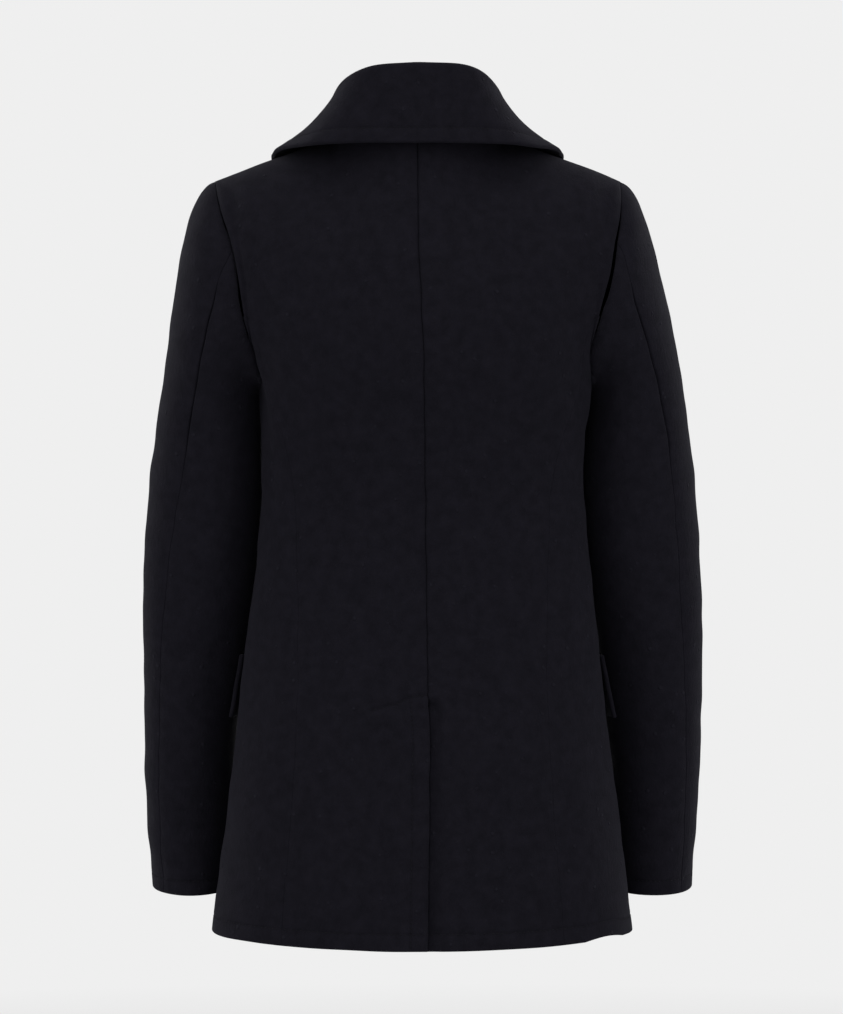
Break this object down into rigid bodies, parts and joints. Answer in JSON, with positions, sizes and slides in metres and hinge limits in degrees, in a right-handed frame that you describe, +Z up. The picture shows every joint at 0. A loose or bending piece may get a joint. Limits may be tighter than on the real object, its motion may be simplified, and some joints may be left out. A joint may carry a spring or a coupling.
{
  "type": "pea coat",
  "caption": "Double-breasted short wool coat, fitted, filled out as if worn: wide folded collar, lapels, vented back, long sleeves, hip pocket flaps, open neck, hem and cuffs",
  "frame": {"origin": "in the middle of the neck opening, at the height of the points where the shoulder seams meet the neck: where the wearer holds the coat up", "axes": "+Z up, towards the collar; -Y the way the coat's front faces; +X the wearer's left"},
  "size_m": [0.5196, 0.2784, 0.793],
  "materials": {
    "back_left": "brushed dark navy wool melton",
    "back_right": "brushed dark navy wool melton",
    "side_left": "brushed dark navy wool melton",
    "side_right": "brushed dark navy wool melton",
    "front_left": "brushed dark navy wool melton",
    "front_right": "brushed dark navy wool melton",
    "lapel_left": "brushed dark navy wool melton",
    "lapel_right": "brushed dark navy wool melton",
    "collar": "brushed dark navy wool melton",
    "top_sleeve_left": "brushed dark navy wool melton",
    "top_sleeve_right": "brushed dark navy wool melton",
    "under_sleeve_left": "brushed dark navy wool melton",
    "under_sleeve_right": "brushed dark navy wool melton",
    "flap_left": "brushed dark navy wool melton",
    "flap_right": "brushed dark navy wool melton",
    "button_1": "dark satin horn-like plastic",
    "button_2": "dark satin horn-like plastic",
    "button_3": "dark satin horn-like plastic",
    "button_4": "dark satin horn-like plastic",
    "button_5": "dark satin horn-like plastic",
    "button_6": "dark satin horn-like plastic"
  },
  "bodies": {
    "root": {"back_left": "back_left", "back_right": "back_right", "side_left": "side_left", "side_right": "side_right", "front_left": "front_left", "front_right": "front_right", "lapel_left": "lapel_left", "lapel_right": "lapel_right", "collar": "collar", "top_sleeve_left": "top_sleeve_left", "top_sleeve_right": "top_sleeve_right", "under_sleeve_left": "under_sleeve_left", "under_sleeve_right": "under_sleeve_right", "flap_left": "flap_left", "flap_right": "flap_right", "button_1": "button_1", "button_2": "button_2", "button_3": "button_3", "button_4": "button_4", "button_5": "button_5", "button_6": "button_6"}
  },
  "joints": []
}
